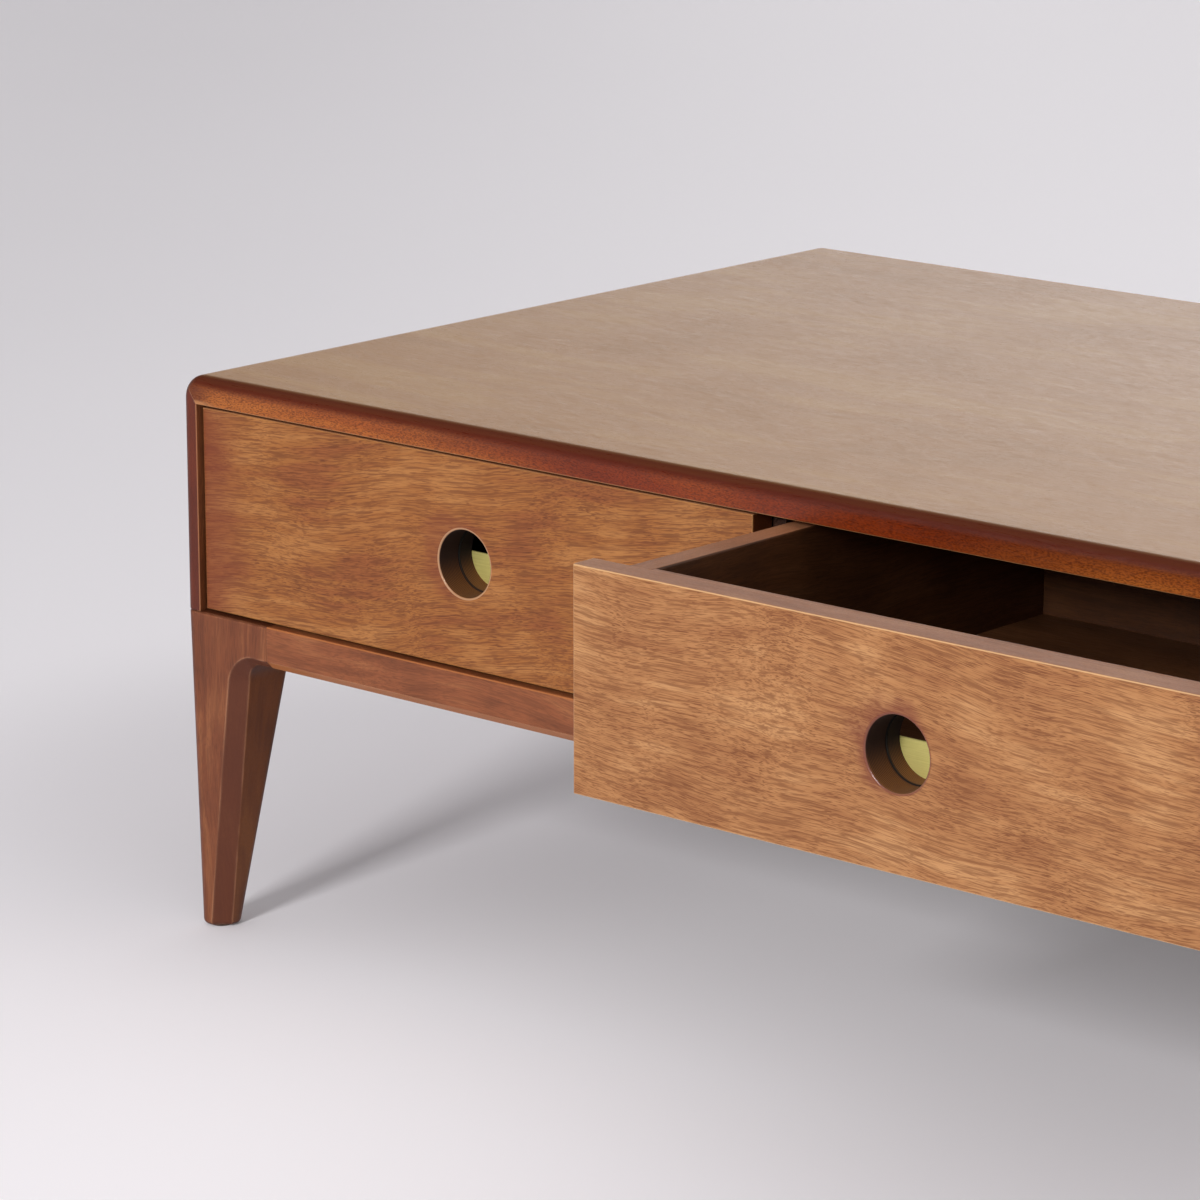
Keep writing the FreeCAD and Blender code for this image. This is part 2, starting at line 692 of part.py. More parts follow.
def drawer(side, sign):
    """A drawer with its two runners. Returns the screws and holes of the runners, by their wall."""
    name = side + "_drawer"
    pull = side + "_pull"
    runners = {
        "outer": runner(side + "_outer_runner", f"{sign}*inside_x", sign * inside_x, -sign, pull),
        "inner": runner(side + "_inner_runner", f"{sign}*divider_thickness/2",
                        sign * size("divider_thickness") / 2, sign, pull),
    }
    slide_screws = [runners[wall]["slide"] for wall in runners]
    keep(join_groups(name + "_slide_screw_set", slide_screws), name + "_slide_screws")

    hole_x = sign * size("panel_middle")
    inner_y = size("plate_front") - size(pull)
    screw_levels = (size("floor_top") + size("panel_screw_rise"), size("box_high") - size("panel_screw_drop"))
    screw_places = [hole_x + end * size("panel_screw_reach") for end in (-1, 1)]
    panel_spots = [(x, inner_y, z) for x in screw_places for z in screw_levels]
    length = size("panel_screw_length")
    keep(group(name + "_panel_screw_set", long_screw(length), panel_spots, (0, -1, 0)), name + "_front_screws")
    panel_holes = group(name + "_panel_holes", long_screw(length, size("fit")), panel_spots, (0, -1, 0))
    plate = size("plate_thickness")
    inset = size("plate_screw_inset")
    reach = size("plate_width") / 2 - inset
    plate_spots = [(hole_x + end * reach, inner_y + plate, size("hole_level") - drop)
                   for end in (-1, 1) for drop in (inset, size("plate_height") - inset)]
    keep(group(name + "_plate_screw_set", pin_screw(plate), plate_spots, (0, -1, 0)), name + "_plate_screws")
    plate_holes = group(name + "_plate_holes", pin_screw(plate, size("fit")), plate_spots, (0, -1, 0))

    keep(cut(drawer_panel(name + "_front_blank", sign, pull), panel_holes), name + "_front")
    keep(cut(finger_plate(name + "_plate_blank", sign, pull), plate_holes), name + "_finger_plate")

    box_start = f"panel_back - {pull}"
    plate_start = f"plate_front - {pull}"
    left_x = {-1: "-box_far", 1: "box_near"}[sign]
    inner_left_x = left_x + " + box_side_thickness"
    right_x = inner_left_x + " + box_inner_width"
    bore = bar(name + "_bore", (f"{sign}*panel_middle", box_start + " - overrun", "hole_level"),
               "hole_radius - bore_step", "box_front_thickness + 2*overrun",
               FreeCAD.Rotation(FreeCAD.Vector(1, 0, 0), -90))
    groove = board(name + "_groove",
                   (inner_left_x + " - groove_depth", plate_start + " - groove_depth", "floor_low"),
                   ("box_inner_width + 2*groove_depth", "box_length", "floor_thickness"))
    box_front = board(name + "_box_front_blank", (inner_left_x, box_start, "box_low"),
                      ("box_inner_width", "box_front_thickness", "box_high - box_low"))
    keep(cut(box_front, bore, groove, panel_holes, plate_holes), name + "_box_front")
    walls = {"outer": (left_x, right_x)[sign > 0], "inner": (right_x, left_x)[sign > 0]}
    for wall, x in walls.items():
        blank = board(f"{name}_{wall}_blank", (x, box_start, "box_low"),
                      ("box_side_thickness", "box_length", "box_high - box_low"))
        rounded = soften_board(blank, size("box_arris"), lambda edge: edge_lies(edge, z=size("box_high")) and (
            edge.Length > size("box_side_thickness") + NEAR))
        keep(cut(rounded, groove, runners[wall]["slide_holes"]), f"{name}_{wall}_side")
    keep(board(name + "_floor",
               (inner_left_x + " - groove_depth + groove_slack", plate_start + " - groove_depth + groove_slack",
                "floor_low"),
               ("box_inner_width + 2*groove_depth - 2*groove_slack",
                "box_length - box_front_thickness + groove_depth - groove_slack", "floor_thickness")),
         name + "_bottom")
    keep(board(name + "_rear", (inner_left_x, box_start + " + box_length - box_back_thickness", "floor_top"),
               ("box_inner_width", "box_back_thickness", "box_high - floor_top")), name + "_back")
    return runners


runners = {side: drawer(side, sign) for side, sign in SIDES.items()}
channel_screws = [runners[side][wall]["channel"] for side in SIDES for wall in ("outer", "inner")]
keep(join_groups("channel_screw_set", channel_screws), "runner_screws")
keep(cut(divider_blank, *[runners[side]["inner"]["channel_holes"] for side in SIDES]), "centre_divider")
for side in SIDES:
    keep(cut(side_blanks[side], runners[side]["outer"]["channel_holes"]), side + "_side_panel")

doc.recompute()
faults = [thing.Name for thing in doc.Objects if {"Invalid", "Error"} & set(thing.State)]
faults += [thing.Label for thing in pieces if thing.Shape.isNull() or not thing.Shape.isValid()]
if faults:
    raise RuntimeError("these failed: " + ", ".join(faults))
os.makedirs("parts", exist_ok=True)
for thing in pieces:
    thing.Shape.exportStep(f"parts/{thing.Label}.step")
print(len(pieces), "pieces written")
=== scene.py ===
# %% [markdown]
# # A coffee table with two drawers
#
# The table is a flat box of mitred boards on a base of tapered legs. All shapes but the screws come whole
# from the solid model, so this lesson is mostly about finish: oiled wood, brass and steel, a soft studio
# light and the camera. Lengths are in metres, X runs along the front, Y to the back and Z up.

# %% Load the frame
import json
import math
import random

import bpy
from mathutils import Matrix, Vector

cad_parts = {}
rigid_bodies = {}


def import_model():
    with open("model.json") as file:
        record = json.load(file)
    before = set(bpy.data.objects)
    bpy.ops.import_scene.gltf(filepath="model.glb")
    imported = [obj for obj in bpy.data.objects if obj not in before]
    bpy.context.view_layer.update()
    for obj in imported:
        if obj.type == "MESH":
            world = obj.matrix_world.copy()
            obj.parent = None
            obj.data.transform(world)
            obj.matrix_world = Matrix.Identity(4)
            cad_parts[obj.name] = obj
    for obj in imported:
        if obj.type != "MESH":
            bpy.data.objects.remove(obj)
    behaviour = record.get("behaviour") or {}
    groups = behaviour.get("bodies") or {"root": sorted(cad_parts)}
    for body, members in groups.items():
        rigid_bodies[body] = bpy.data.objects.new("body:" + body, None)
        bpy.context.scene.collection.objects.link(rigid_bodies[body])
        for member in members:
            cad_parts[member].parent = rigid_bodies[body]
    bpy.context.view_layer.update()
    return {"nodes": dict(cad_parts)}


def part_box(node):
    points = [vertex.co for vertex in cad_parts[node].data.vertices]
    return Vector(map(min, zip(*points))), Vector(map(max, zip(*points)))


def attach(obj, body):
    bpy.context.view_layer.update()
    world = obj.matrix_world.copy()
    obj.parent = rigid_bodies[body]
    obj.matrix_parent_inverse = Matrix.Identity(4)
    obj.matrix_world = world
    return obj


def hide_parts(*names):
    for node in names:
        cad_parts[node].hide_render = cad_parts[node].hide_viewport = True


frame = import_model()
nodes = frame["nodes"]
MM = 0.001
bpy.ops.object.select_all(action="DESELECT")

# %% [markdown]
# ## Small tools for shader nodes
#
# A material is a graph. Written out in full, each node takes four or five lines and hides the idea. Short
# helpers keep the recipes below readable: one adds a node and fills its inputs, others do arithmetic,
# blend colours or make a smooth step. An input takes either a plain value or the output of another node.

# %% Add and link nodes


def fill(tree, socket, value):
    """Link an output to a socket, or set the socket's own value."""
    if isinstance(value, bpy.types.NodeSocket):
        tree.links.new(value, socket)
    else:
        socket.default_value = value


def add(tree, kind, inputs=None, **settings):
    """A new node, its settings made and its inputs filled."""
    node = tree.nodes.new("ShaderNode" + kind)
    for name, value in settings.items():
        setattr(node, name, value)
    for name, value in (inputs or {}).items():
        fill(tree, node.inputs[name], value)
    return node


def new_material(name):
    material = bpy.data.materials.new(name)
    material.use_nodes = True
    return material, material.node_tree, material.node_tree.nodes["Principled BSDF"]


print("tools to add nodes ready")

# %% Arithmetic with nodes


def calc(tree, operation, first, second=0.0):
    node = add(tree, "Math", operation=operation)
    fill(tree, node.inputs[0], first)
    fill(tree, node.inputs[1], second)
    return node.outputs[0]


def times(tree, first, second):
    return calc(tree, "MULTIPLY", first, second)


def plus(tree, first, second):
    return calc(tree, "ADD", first, second)


def minus(tree, first, second):
    return calc(tree, "SUBTRACT", first, second)


def half_and_half(tree, first, second):
    return plus(tree, times(tree, first, 0.5), times(tree, second, 0.5))


def away_from(tree, value, position):
    """How far a value is from a position, whichever side it is on."""
    return calc(tree, "ABSOLUTE", minus(tree, value, position))


def hypotenuse(tree, first, second):
    return calc(tree, "SQRT", plus(tree, calc(tree, "POWER", first, 2.0), calc(tree, "POWER", second, 2.0)))


def dot(tree, first, second):
    return add(tree, "VectorMath", {0: first, 1: second}, operation="DOT_PRODUCT").outputs["Value"]


def step(tree, value, start, end, low=0.0, high=1.0):
    """A smooth step of a value, from low at start to high at end."""
    node = add(tree, "MapRange", {"Value": value}, interpolation_type="SMOOTHSTEP")
    for name, number in (("From Min", start), ("From Max", end), ("To Min", low), ("To Max", high)):
        fill(tree, node.inputs[name], number)
    return node.outputs["Result"]


print("arithmetic ready")

# %% Colours
SCREEN_TOE, SCREEN_TOE_SLOPE = 0.04045, 12.92
SCREEN_LIFT, SCREEN_GAMMA = 0.055, 2.4


def tint(hex_colour):
    """A colour as it looks on screen, turned to the linear values that shaders use."""
    linear = []
    for place in (0, 2, 4):
        part = int(hex_colour[place:place + 2], 16) / 255
        if part <= SCREEN_TOE:
            linear.append(part / SCREEN_TOE_SLOPE)
        else:
            linear.append(((part + SCREEN_LIFT) / (1 + SCREEN_LIFT)) ** SCREEN_GAMMA)
    return (*linear, 1.0)


def blend(tree, share, first, second):
    """Two colours mixed, with this share of the second."""
    node = add(tree, "Mix", data_type="RGBA")
    fill(tree, node.inputs["Factor"], share)
    fill(tree, node.inputs[6], first)
    fill(tree, node.inputs[7], second)
    return node.outputs[2]


print("a middle grey on screen is", round(tint("808080")[0], 3), "in the shader")

# %% [markdown]
# ## Wood
#
# The timber is a warm brown hardwood with short dark pores, a mottled ground and a satin finish. A
# picture texture would show its edges and repeats, so the figure is built from noise in the board's own
# coordinates. Each board turns the grain along its length and shifts it to a place of its own, so no two
# boards match. A slow curl and a quick one bend the lines, because a straight stretched noise looks
# combed.

# %% Space of a board
TURN = {"x": (0.0, 0.0, 0.0), "y": (0.0, 0.0, -math.pi / 2), "z": (0.0, math.pi / 2, 0.0)}
SHIFT_PER_SEED = (1.7, 0.9, 2.3)
SLOW_CURL, QUICK_CURL, CURL_DETAIL = (5.0, 30 * MM), (32.0, 2 * MM), 1.0
NOISE_MEAN = 0.5


def bend(tree, space, scale, amount):
    """Push coordinates sideways, across the grain, by a noise of this scale and by up to this amount."""
    noise = add(tree, "TexNoise", {"Vector": space, "Scale": scale, "Detail": CURL_DETAIL}).outputs["Color"]
    mean = (NOISE_MEAN, NOISE_MEAN, NOISE_MEAN)
    centred = add(tree, "VectorMath", {0: noise, 1: mean}, operation="SUBTRACT").outputs[0]
    across = (0.0, amount, amount)
    sideways = add(tree, "VectorMath", {0: centred, 1: across}, operation="MULTIPLY").outputs[0]
    return add(tree, "VectorMath", {0: space, 1: sideways}, operation="ADD").outputs[0]


def board_space(tree, place, grain, seed, tilt):
    """Coordinates with the grain along X, tilted a little, moved to the board's own place and curled."""
    turned = add(tree, "Mapping", {"Vector": place, "Rotation": TURN[grain]}).outputs[0]
    shift = tuple(seed * part for part in SHIFT_PER_SEED)
    moved = add(tree, "Mapping", {"Vector": turned, "Rotation": (0.0, tilt, 0.0), "Location": shift})
    return bend(tree, bend(tree, moved.outputs[0], *SLOW_CURL), *QUICK_CURL)


print("curls of", [round(amount / MM) for scale, amount in (SLOW_CURL, QUICK_CURL)], "mm ready")

# %% [markdown]
# ## Figure of the wood
#
# Up close the wood is several patterns at once: soft clouds and long streaks in the ground, then lines
# and short dashes where the cut opens pores, and fibres that only roughen the surface. Each is one noise
# drawn out along the grain. One noise with many octaves would be shorter to write, but the pores could
# not be coloured apart from the ground.

# %% Patterns
# Features to the metre along the grain and across it, then octaves of detail.
CLOUD = (17.0, 24.0, 1.0)
STREAK = (8.0, 130.0, 2.0)
LINE = (30.0, 760.0, 2.0)
DASH = (85.0, 2300.0, 1.0)
FIBRE = (45.0, 1500.0, 1.0)
FLECK = (450.0, 2000.0, 1.0)


def figure(tree, space, along, across, detail, roughness=0.55):
    """Noise drawn out along the grain: features so many to the metre along and across it."""
    stretched = add(tree, "Mapping", {"Vector": space, "Scale": (along, across, across)})
    noise = add(tree, "TexNoise", {
        "Vector": stretched.outputs[0], "Scale": 1.0, "Detail": detail, "Roughness": roughness})
    return noise.outputs["Fac"]


def broad_figure(tree, space, breadth, pattern):
    along, across, detail = pattern
    return figure(tree, space, along / breadth, across / breadth, detail)


print("pores about", round(1 / (DASH[0] * MM)), "mm long and", round(1 / (DASH[1] * MM), 1), "mm wide")

# %% Ground and pores
# An edge is where a smooth step starts and ends, a fade is the same in metres, a share is how far it goes.
DARK_AT, MIDDLE_AT, LIGHT_AT = 0.36, 0.5, 0.64
DASH_EDGE, LINE_EDGE, LINE_SHARE = (0.5, 0.64), (0.46, 0.66), 0.75
CROWD_EDGE, THINNED = (0.35, 0.65), 0.7


def ground(tree, mottle, tones):
    """The colour of the wood between its pores, from its dark tone to its light one."""
    ramp = add(tree, "ValToRGB", {"Fac": mottle})
    stops = ramp.color_ramp
    stops.interpolation = "EASE"
    stops.elements[0].position, stops.elements[0].color = DARK_AT, tones["dark"]
    stops.elements[1].position, stops.elements[1].color = LIGHT_AT, tones["light"]
    stops.elements.new(MIDDLE_AT).color = tones["middle"]
    return ramp.outputs["Color"]


def open_pores(tree, space, cloud):
    """1 in the pores and 0 between them, fewer where the ground is pale."""
    line, dash = figure(tree, space, *LINE), figure(tree, space, *DASH)
    dashes = times(tree, step(tree, dash, *DASH_EDGE), step(tree, cloud, *CROWD_EDGE, 1.0, THINNED))
    return calc(tree, "MAXIMUM", dashes, times(tree, step(tree, line, *LINE_EDGE), LINE_SHARE))


print("ground of three tones at", [DARK_AT, MIDDLE_AT, LIGHT_AT], "ready")

# %% [markdown]
# ## Shaped edges
#
# On the top and the sides the toned lacquer lies thicker where the board is shaped, so rounded edges are
# darker and redder than the flat faces. On the legs the bevels are darker as painted shade. On the fronts
# and the rails the shaped edges are paler, partly from use and partly as a painted highlight. End grain
# drinks the most stain. The surface normal tells them apart: a flat face points along one axis, a bevel
# along none, and end grain along the grain. Only the dark front arris of the top is found by its position.
# Masks painted by hand would give the same picture, but would have to be painted for each board.

# %% Masks for faces and edges
AXIS_X, AXIS_Y, AXIS_Z = 0, 1, 2
FACE_EDGE, SHAPED_EDGE = (0.75, 0.93), (0.82, 0.99)
ARRIS_FADE = (4 * MM, 11 * MM)
FRONT_FADE = (4 * MM, 12 * MM)
END_FADE = (34 * MM, 8 * MM)
END_SHARE = 0.75


def facing(tree, normal, axis, sign):
    """How far a face points along one axis, from 0 to 1; either way along it where the sign is 0."""
    part = add(tree, "SeparateXYZ", {"Vector": normal}).outputs[axis]
    part = times(tree, part, sign) if sign else calc(tree, "ABSOLUTE", part)
    return step(tree, part, *FACE_EDGE)


def shaped_edges(tree, normal):
    """1 on bevels and rounded edges and 0 on faces square to the axes, with the size of each part."""
    size = add(tree, "VectorMath", {0: normal}, operation="ABSOLUTE").outputs[0]
    parts = add(tree, "SeparateXYZ", {"Vector": size}).outputs
    larger = calc(tree, "MAXIMUM", parts[AXIS_X], parts[AXIS_Y])
    largest = calc(tree, "MAXIMUM", larger, parts[AXIS_Z])
    return step(tree, largest, *SHAPED_EDGE, 1.0, 0.0), parts


def near_arris(tree, spread, front, top, half_length):
    """1 close to an arris along X and round its two ends on the front, fading over a few millimetres."""
    behind = minus(tree, spread[AXIS_Y], front)
    reach = hypotenuse(tree, behind, minus(tree, spread[AXIS_Z], top))
    along = step(tree, reach, *ARRIS_FADE, 1.0, 0.0)
    fade_from, fade_to = (half_length - inset for inset in END_FADE)
    ends = step(tree, calc(tree, "ABSOLUTE", spread[AXIS_X]), fade_from, fade_to, 0.0, END_SHARE)
    on_front = step(tree, behind, *FRONT_FADE, 1.0, 0.0)
    return calc(tree, "MAXIMUM", along, times(tree, ends, on_front))


print("masks ready, a dark arris fades over", round((ARRIS_FADE[1] - ARRIS_FADE[0]) / MM), "mm")

# %% [markdown]
# ## Finger holes
#
# A finger hole is drilled through the drawer front and the box front behind it. Its rim drank more stain
# than the face, in a ragged patch that leans up and to the left. The lip is glossy from handling, and on
# the left front it is paler, partly as a painted highlight. The bore is nearly black with the fine rings
# that the cutter left, and is painted paler below, as light from the lamp that falls into it. Where front
# and box meet, a dark seam is partly a painted shadow of the ledge. The rings are a sine of the depth: they
# are finer than any mesh would need to be, and the bore is too dark to show their relief.

# %% Stain round a finger hole
STAIN_GRAIN, STAIN_DETAIL, STAIN_SPREAD = 38.0, 4.0, 28 * MM
STAIN_LEFTWARD, STAIN_UPWARD = 0.28, 0.16
STAIN_FADE = (-3 * MM, 9 * MM)


def soft_noise(tree, place, grain, detail):
    return add(tree, "TexNoise", {"Vector": place, "Scale": grain, "Detail": detail}).outputs["Fac"]


def outside(radius, fade):
    """Where a fade starts and ends, if it is given as distances from the rim of the hole."""
    return tuple(radius + distance for distance in fade)


def ragged_reach(tree, place, reach, aside, above):
    """Distance from the hole's middle, made ragged by a noise and drawn up and to the left."""
    blotch = soft_noise(tree, place, STAIN_GRAIN, STAIN_DETAIL)
    ragged = plus(tree, reach, times(tree, minus(tree, blotch, NOISE_MEAN), STAIN_SPREAD))
    leaning = minus(tree, times(tree, aside, STAIN_LEFTWARD), times(tree, above, STAIN_UPWARD))
    return plus(tree, ragged, leaning)


print("stain fades over", round((STAIN_FADE[1] - STAIN_FADE[0]) / MM), "mm")

# %% Bore of a finger hole
RING_PITCH, RING_EDGE, RING_LOW = 1.3 * MM, (-0.6, 1.0), 0.2
# The bore is painted paler below, fading out just above its middle, as light from the lamp.
LIT_BELOW_TO = 0.1
# The dark seam is a joint line and partly a painted shadow of the ledge.
SEAM_SHADOW_FADE, SEAM_SHADOW_SHARE, SEAM_SHADOW_COLOUR = (0.3 * MM, 1.2 * MM), 0.9, (0.003, 0.002, 0.001, 1.0)


def bore_colour(tree, depth, above, radius, joint, tones):
    """Turned rings, shown in the painted light low in the bore, and a dark seam that is partly painted
    shadow.
    """
    rings = calc(tree, "SINE", times(tree, depth, 2 * math.pi / RING_PITCH))
    turned = step(tree, rings, *RING_EDGE, RING_LOW, 1.0)
    # Painted light: the lower bore is paler, where the lamp shines in.
    lit_below = step(tree, above, -radius, LIT_BELOW_TO * radius, 1.0, 0.0)
    bore = blend(tree, times(tree, turned, lit_below), tones["bore"], tones["turned"])
    # Dark joint line, partly a painted shadow of the ledge.
    seam = away_from(tree, depth, joint)
    return blend(tree, step(tree, seam, *SEAM_SHADOW_FADE, SEAM_SHADOW_SHARE, 0.0), bore, SEAM_SHADOW_COLOUR)


print("rings every", RING_PITCH / MM, "mm ready")

# %% A whole finger hole
LIP_FADE, LIP_SHARE = (1.2 * MM, 1.9 * MM), 0.8
LIP_GLOSS_FADE, LIP_ROUGHNESS = (1.6 * MM, 2.6 * MM), 0.1
BORE_FADE, BORE_ROUGHNESS = (0.1 * MM, 0.5 * MM), 0.95


def finger_hole(tree, place, hole, tones, colour, rough):
    """The colour and roughness of a board, with those of its finger hole."""
    middle, level, radius, joint = hole
    spread = add(tree, "SeparateXYZ", {"Vector": place}).outputs
    aside = minus(tree, spread[AXIS_X], middle)
    above = minus(tree, spread[AXIS_Z], level)
    reach = hypotenuse(tree, aside, above)
    ragged = ragged_reach(tree, place, reach, aside, above)
    drawn_in = step(tree, ragged, *outside(radius, STAIN_FADE), tones["drawn_in"], 0.0)
    colour = blend(tree, drawn_in, colour, tones["halo"])
    on_lip = step(tree, reach, *outside(radius, LIP_FADE), LIP_SHARE, 0.0)
    colour = blend(tree, on_lip, colour, tones["lip"])
    inside = step(tree, reach, *outside(radius, BORE_FADE), 1.0, 0.0)
    lip_gloss = step(tree, reach, *outside(radius, LIP_GLOSS_FADE), LIP_ROUGHNESS, rough)
    bore = bore_colour(tree, spread[AXIS_Y], above, radius, joint, tones)
    return blend(tree, inside, colour, bore), step(tree, inside, 0.0, 1.0, lip_gloss, BORE_ROUGHNESS)


print("finger hole ready, its lip", round(LIP_FADE[1] / MM, 1), "mm wide")

# %% [markdown]
# ## Finish of a board
#
# The finish goes on in workshop order: bare wood with its pores, other tones on the faces that differ
# (painted shade on the inside of the legs), lacquer, painted shade or painted highlight on the shaped
# edges, stain in the end grain, and last the marks of use. A crisp arris goes pale in use, and is painted
# paler still as a highlight. The Bevel node turns the normal only close to an edge, so the turn itself is
# a mask of the arrises, and the same normal makes them catch the light as a real, slightly blunt edge does.

# %% Tones of single faces
FLECK_EDGE = (0.44, 0.6)
GOLDEN_ENDS, GOLDEN_SHARE = (110 * MM, 330 * MM), 0.85
GOLDEN_STREAK, GOLDEN_LOW = (0.36, 0.6), 0.45
RED_RAGGED, RED_SHARE = 40 * MM, 0.6


def other_face(tree, space, spread, mottle, streak, tones):
    """The colour of a face that differs from the rest of its board: flecked, some with golden ends."""
    flecks = times(tree, step(tree, figure(tree, space, *FLECK), *FLECK_EDGE), tones["spots"])
    plain = ground(tree, mottle, tones)
    if "golden" in tones:
        outward = step(tree, calc(tree, "ABSOLUTE", spread[AXIS_X]), *GOLDEN_ENDS, 0.0, GOLDEN_SHARE)
        golden = times(tree, outward, step(tree, streak, *GOLDEN_STREAK, GOLDEN_LOW, 1.0))
        plain = blend(tree, golden, plain, tones["golden"])
    return blend(tree, flecks, plain, tones["pore"])


def reddened(tree, colour, spread, cloud, span, tones):
    """A redder left end, with a ragged border."""
    ragged = plus(tree, spread[AXIS_X], times(tree, minus(tree, cloud, NOISE_MEAN), RED_RAGGED))
    return blend(tree, step(tree, ragged, *span, RED_SHARE, 0.0), colour, tones["halo"])


print("tones of single faces ready")

# %% Edge tones, use marks and painted highlights
HIGHLIGHT_LINE_FADE, HIGHLIGHT_LINE_SHARE = (1.5 * MM, 4 * MM), 0.8
END_GRAIN_EDGE = (0.8, 0.95)
ARRIS_TURN_EDGE = (0.93, 0.995)
PATCHY_EDGE, PATCHY_LOW = (0.38, 0.6), 0.3
JOINT_FADE = (2 * MM, 4 * MM)


def edge_lacquer_and_light(tree, colour, normal, spread, grain, tones, shade, end, dark_arris, highlight_line):
    """Shaped edges as lacquer, painted shade or painted highlight, a painted highlight line, stained end
    grain.
    """
    shaped, parts = shaped_edges(tree, normal)
    if dark_arris:
        shaped = calc(tree, "MAXIMUM", shaped, near_arris(tree, spread, *dark_arris))
    # Edge tone: lacquer on top and sides, painted shade on legs, partly painted highlight on fronts and
    # rails.
    lacquer = tones["edge"]
    # A line painted paler as a highlight along one arris of the shaped edge.
    if highlight_line:
        axis, position = highlight_line
        worn_and_highlit = step(tree, away_from(tree, spread[axis], position), *HIGHLIGHT_LINE_FADE, HIGHLIGHT_LINE_SHARE, 0.0)
        lacquer = blend(tree, worn_and_highlit, lacquer, tones["worn_and_highlit"])
    colour = blend(tree, times(tree, shaped, shade), colour, lacquer)
    end_grain = step(tree, parts["xyz".index(grain)], *END_GRAIN_EDGE, 0.0, end)
    return blend(tree, end_grain, colour, tones["pore"])


def rubbed_and_highlit(tree, colour, normal, blunt, spread, streak, tones, pale, joints):
    """Pale, patchy arrises, partly from use and partly a painted highlight, but none at the glued joints.
    """
    patchy = step(tree, streak, *PATCHY_EDGE, PATCHY_LOW, 1.0)
    # Paler at crisp arrises, partly from use and partly as a painted highlight.
    wear_and_highlight = times(tree, step(tree, dot(tree, blunt, normal), *ARRIS_TURN_EDGE, pale, 0.0), patchy)
    for axis, position in joints:
        wear_and_highlight = times(tree, wear_and_highlight, step(tree, away_from(tree, spread[axis], position), *JOINT_FADE))
    return blend(tree, wear_and_highlight, colour, tones["worn_and_highlit"])


print("lacquer and wear ready")

# %% A whole board
BEVEL_SAMPLES = 6
FIBRE_ROUGHNESS = 0.6
FIBRE_DULLING, PORE_DULLING = 0.2, 0.1
FIBRE_HEIGHT, PORE_DEPTH, RELIEF_SCALE = 0.3, 0.6, 0.2 * MM


def wood(name, grain, seed, tones, tilt=0.0, other=None, hole=None, dark_arris=None, highlight_line=None,
         red_end=None, joints=(), pore=0.6, shade=0.8, end=0.6, pale=0.5, gloss=0.4, specular=0.35,
         blunting=0.8 * MM, relief=0.25, breadth=1.0):
    """A finished board.

    pore, shade, end and pale are shares: how strongly pores, shaped edges, end grain and pale arrises
    show; the pale arrises are partly use and partly painted highlight. other gives an axis, the way along
    it and the tones of the faces that point that way.
    """
    material, tree, shader = new_material(name)
    place = add(tree, "TexCoord").outputs["Object"]
    spread = add(tree, "SeparateXYZ", {"Vector": place}).outputs
    space = board_space(tree, place, grain, seed, tilt)
    normal = add(tree, "NewGeometry").outputs["Normal"]
    blunt = add(tree, "Bevel", {"Radius": blunting}, samples=BEVEL_SAMPLES).outputs[0]
    cloud, streak = (broad_figure(tree, space, breadth, pattern) for pattern in (CLOUD, STREAK))
    fibre = figure(tree, space, *FIBRE, FIBRE_ROUGHNESS)
    pores = open_pores(tree, space, cloud)

    mottle = half_and_half(tree, cloud, streak)
    colour = blend(tree, times(tree, pores, pore), ground(tree, mottle, tones), tones["pore"])
    if other:
        axis, sign, more = other
        face = other_face(tree, space, spread, mottle, streak, more)
        colour = blend(tree, facing(tree, normal, axis, sign), colour, face)
    if red_end:
        colour = reddened(tree, colour, spread, cloud, red_end, tones)
    colour = edge_lacquer_and_light(tree, colour, normal, spread, grain, tones, shade, end, dark_arris, highlight_line)
    colour = rubbed_and_highlit(tree, colour, normal, blunt, spread, streak, tones, pale, joints)

    rough = plus(tree, gloss, times(tree, minus(tree, fibre, NOISE_MEAN), FIBRE_DULLING))
    rough = plus(tree, rough, times(tree, pores, PORE_DULLING))
    if hole:
        colour, rough = finger_hole(tree, place, hole, tones, colour, rough)
    fill(tree, shader.inputs["Base Color"], colour)
    fill(tree, shader.inputs["Roughness"], rough)
    shader.inputs["Specular IOR Level"].default_value = specular
    height = minus(tree, times(tree, fibre, FIBRE_HEIGHT), times(tree, pores, PORE_DEPTH))
    bump = add(tree, "Bump", {
        "Height": height, "Strength": relief, "Distance": RELIEF_SCALE, "Normal": blunt})
    fill(tree, shader.inputs["Normal"], bump.outputs["Normal"])
    return material


print("recipe for a board ready")

# %% [markdown]
# ## Tones of the boards
#
# The drawer fronts are a golden brown, the left one a little redder. The top is browner, with a red,
# freckled edge that turns golden towards its ends. The base is a deeper red brown, painted darker on the
# inside of the legs as shade. Inside, the drawers are coloured dark brown, and only the upper edges of
# their walls keep the colour of the fronts. A tone set names each colour for what it is on the board, so
# a recipe never has to know a number.

# %% Tone sets


def tone_set(dark, middle, light, pore, edge, worn_and_highlit, **more):
    """Ground tones dark to light, pores, shaped edges, pale arrises partly painted highlight, others by
    name.
    """
    tones = dict(dark=dark, middle=middle, light=light, pore=pore, edge=edge, worn_and_highlit=worn_and_highlit, **more)
    return {name: tint(value) if isinstance(value, str) else value for name, value in tones.items()}


